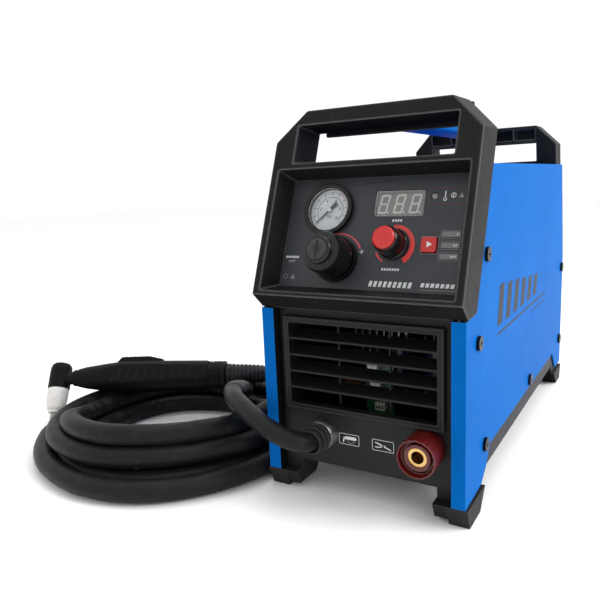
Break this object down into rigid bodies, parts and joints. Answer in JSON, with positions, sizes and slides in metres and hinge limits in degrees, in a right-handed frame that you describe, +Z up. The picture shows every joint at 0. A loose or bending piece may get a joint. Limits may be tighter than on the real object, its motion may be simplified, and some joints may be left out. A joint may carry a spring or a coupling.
{
  "type": "plasma cutter unit",
  "caption": "Inverter plasma cutting machine: folded steel case with two handles, leaning control face, and a hand torch on a coiled lead.",
  "frame": {"origin": "on the floor, under the middle of the case between its four feet", "axes": "+Z up, -Y towards the controls at the front, +X to the right of someone facing the controls from behind the machine looking towards +Y"},
  "size_m": [0.4558, 0.4984, 0.294],
  "materials": {
    "blue_paint": "satin powder coat",
    "case_plastic": "fine spark-eroded texture",
    "black_sheet": "matt powder coat",
    "panel_film": "printed polycarbonate film",
    "black_gloss": "glossy",
    "red_plastic": "satin",
    "dark_red": "glossy, slightly clear",
    "brass": "turned",
    "zinc_steel": "zinc plated",
    "black_screw": "black oxide",
    "dial_white": "printed",
    "clear": "clear",
    "tinted": "tinted",
    "board_green": "solder mask",
    "aluminium": "extruded",
    "ferrite": "sintered",
    "copper": "enamelled wire and tape",
    "can_sleeve": "shrink sleeve",
    "ceramic": "fired ceramic",
    "rubber": "matt",
    "lamp": "diffuse"
  },
  "bodies": {
    "case": {"side_panel_left": "blue_paint", "side_panel_right": "blue_paint", "top_cover": "blue_paint", "carry_rail": "blue_paint", "front_bezel": "case_plastic", "rear_frame": "case_plastic", "rear_panel": "black_sheet", "base_tray": "black_sheet", "front_feet": "case_plastic", "rear_feet": "case_plastic", "case_screws": "black_screw", "front_panel": "black_sheet", "louvre_grille": "case_plastic", "socket_body": "dark_red", "socket_contact": "brass", "panel_nuts": "zinc_steel", "torch_gland": "black_gloss", "control_plate": "panel_film", "gauge_case": "zinc_steel", "gauge_dial": "dial_white", "gauge_ring": "black_gloss", "gauge_lens": "clear", "display_housing": "black_gloss", "display_window": "tinted", "status_lights": "lamp", "current_potentiometer": "zinc_steel", "regulator_body": "zinc_steel", "control_board": "board_green", "fan_frame": "black_gloss", "fan_guard": "zinc_steel", "main_board": "board_green", "heat_sinks": "aluminium", "transformer_core": "ferrite", "transformer_coil": "copper", "output_choke": "copper", "bus_capacitors": "can_sleeve", "air_inlet": "brass", "solenoid_valve": "zinc_steel", "mains_gland": "black_gloss", "switch_housing": "black_gloss", "torch_handle": "case_plastic", "torch_head": "black_gloss", "shield_cup": "ceramic", "cutting_tip": "zinc_steel", "torch_collar": "black_gloss", "torch_boot": "rubber", "torch_lead_out": "rubber", "torch_lead_in": "rubber", "torch_lead_coil": "rubber"},
    "current_knob": {"current_knob": "black_gloss", "current_knob_cap": "red_plastic", "current_shaft": "zinc_steel"},
    "regulator_spindle": {"regulator_spindle": "brass"},
    "regulator_knob": {"regulator_knob": "black_gloss"},
    "gauge_needle": {"gauge_needle": "black_gloss"},
    "test_button": {"test_button": "red_plastic"},
    "fan_rotor": {"fan_rotor": "black_gloss"},
    "power_rocker": {"power_rocker": "red_plastic"},
    "torch_trigger": {"torch_trigger": "black_gloss"},
    "valve_plunger": {"valve_plunger": "zinc_steel"}
  },
  "joints": [
    {"name": "current_turn", "type": "hinge", "parent": "case", "child": "current_knob", "pos_m": [0.02, -0.16801, 0.19414], "axis": [0, -0.9287, 0.3709], "range_deg": [-135, 135]},
    {"name": "pressure_turn", "type": "hinge", "parent": "case", "child": "regulator_spindle", "pos_m": [-0.0238, -0.17247, 0.183], "axis": [0, -0.9287, 0.3709], "range_deg": [-540, 540]},
    {"name": "pressure_lock", "type": "slide", "parent": "regulator_spindle", "child": "regulator_knob", "axis": [0, -0.9287, 0.3709], "range_m": [0, 0.003]},
    {"name": "gauge_sweep", "type": "hinge", "parent": "case", "child": "gauge_needle", "pos_m": [-0.0355, -0.15782, 0.21861], "axis": [0, 0.9287, -0.3709], "range_deg": [0, 270], "stiffness_Nm_per_rad": 0.00005, "springref_deg": -20.05},
    {"name": "test_press", "type": "slide", "parent": "case", "child": "test_button", "axis": [0, 0.9287, -0.3709], "range_m": [0, 0.0006], "stiffness_N_per_m": 800, "springref_m": -0.0005},
    {"name": "fan_spin", "type": "hinge", "parent": "case", "child": "fan_rotor", "pos_m": [0, 0.1755, 0.086], "axis": [0, 1, 0], "continuous": true},
    {"name": "power_rock", "type": "hinge", "parent": "case", "child": "power_rocker", "pos_m": [-0.047, 0.17754, 0.20264], "axis": [1, 0, 0], "range_deg": [0, 15]},
    {"name": "trigger_pull", "type": "hinge", "parent": "case", "child": "torch_trigger", "pos_m": [-0.26801, -0.11285, 0.05897], "axis": [0.3795, -0.7259, 0.5736], "range_deg": [0, 4], "stiffness_Nm_per_rad": 1.5, "springref_deg": -4.58},
    {"name": "valve_lift", "type": "slide", "parent": "case", "child": "valve_plunger", "axis": [0, 0, 1], "range_m": [0, 0.0025], "stiffness_N_per_m": 300, "springref_m": -0.002}
  ]
}
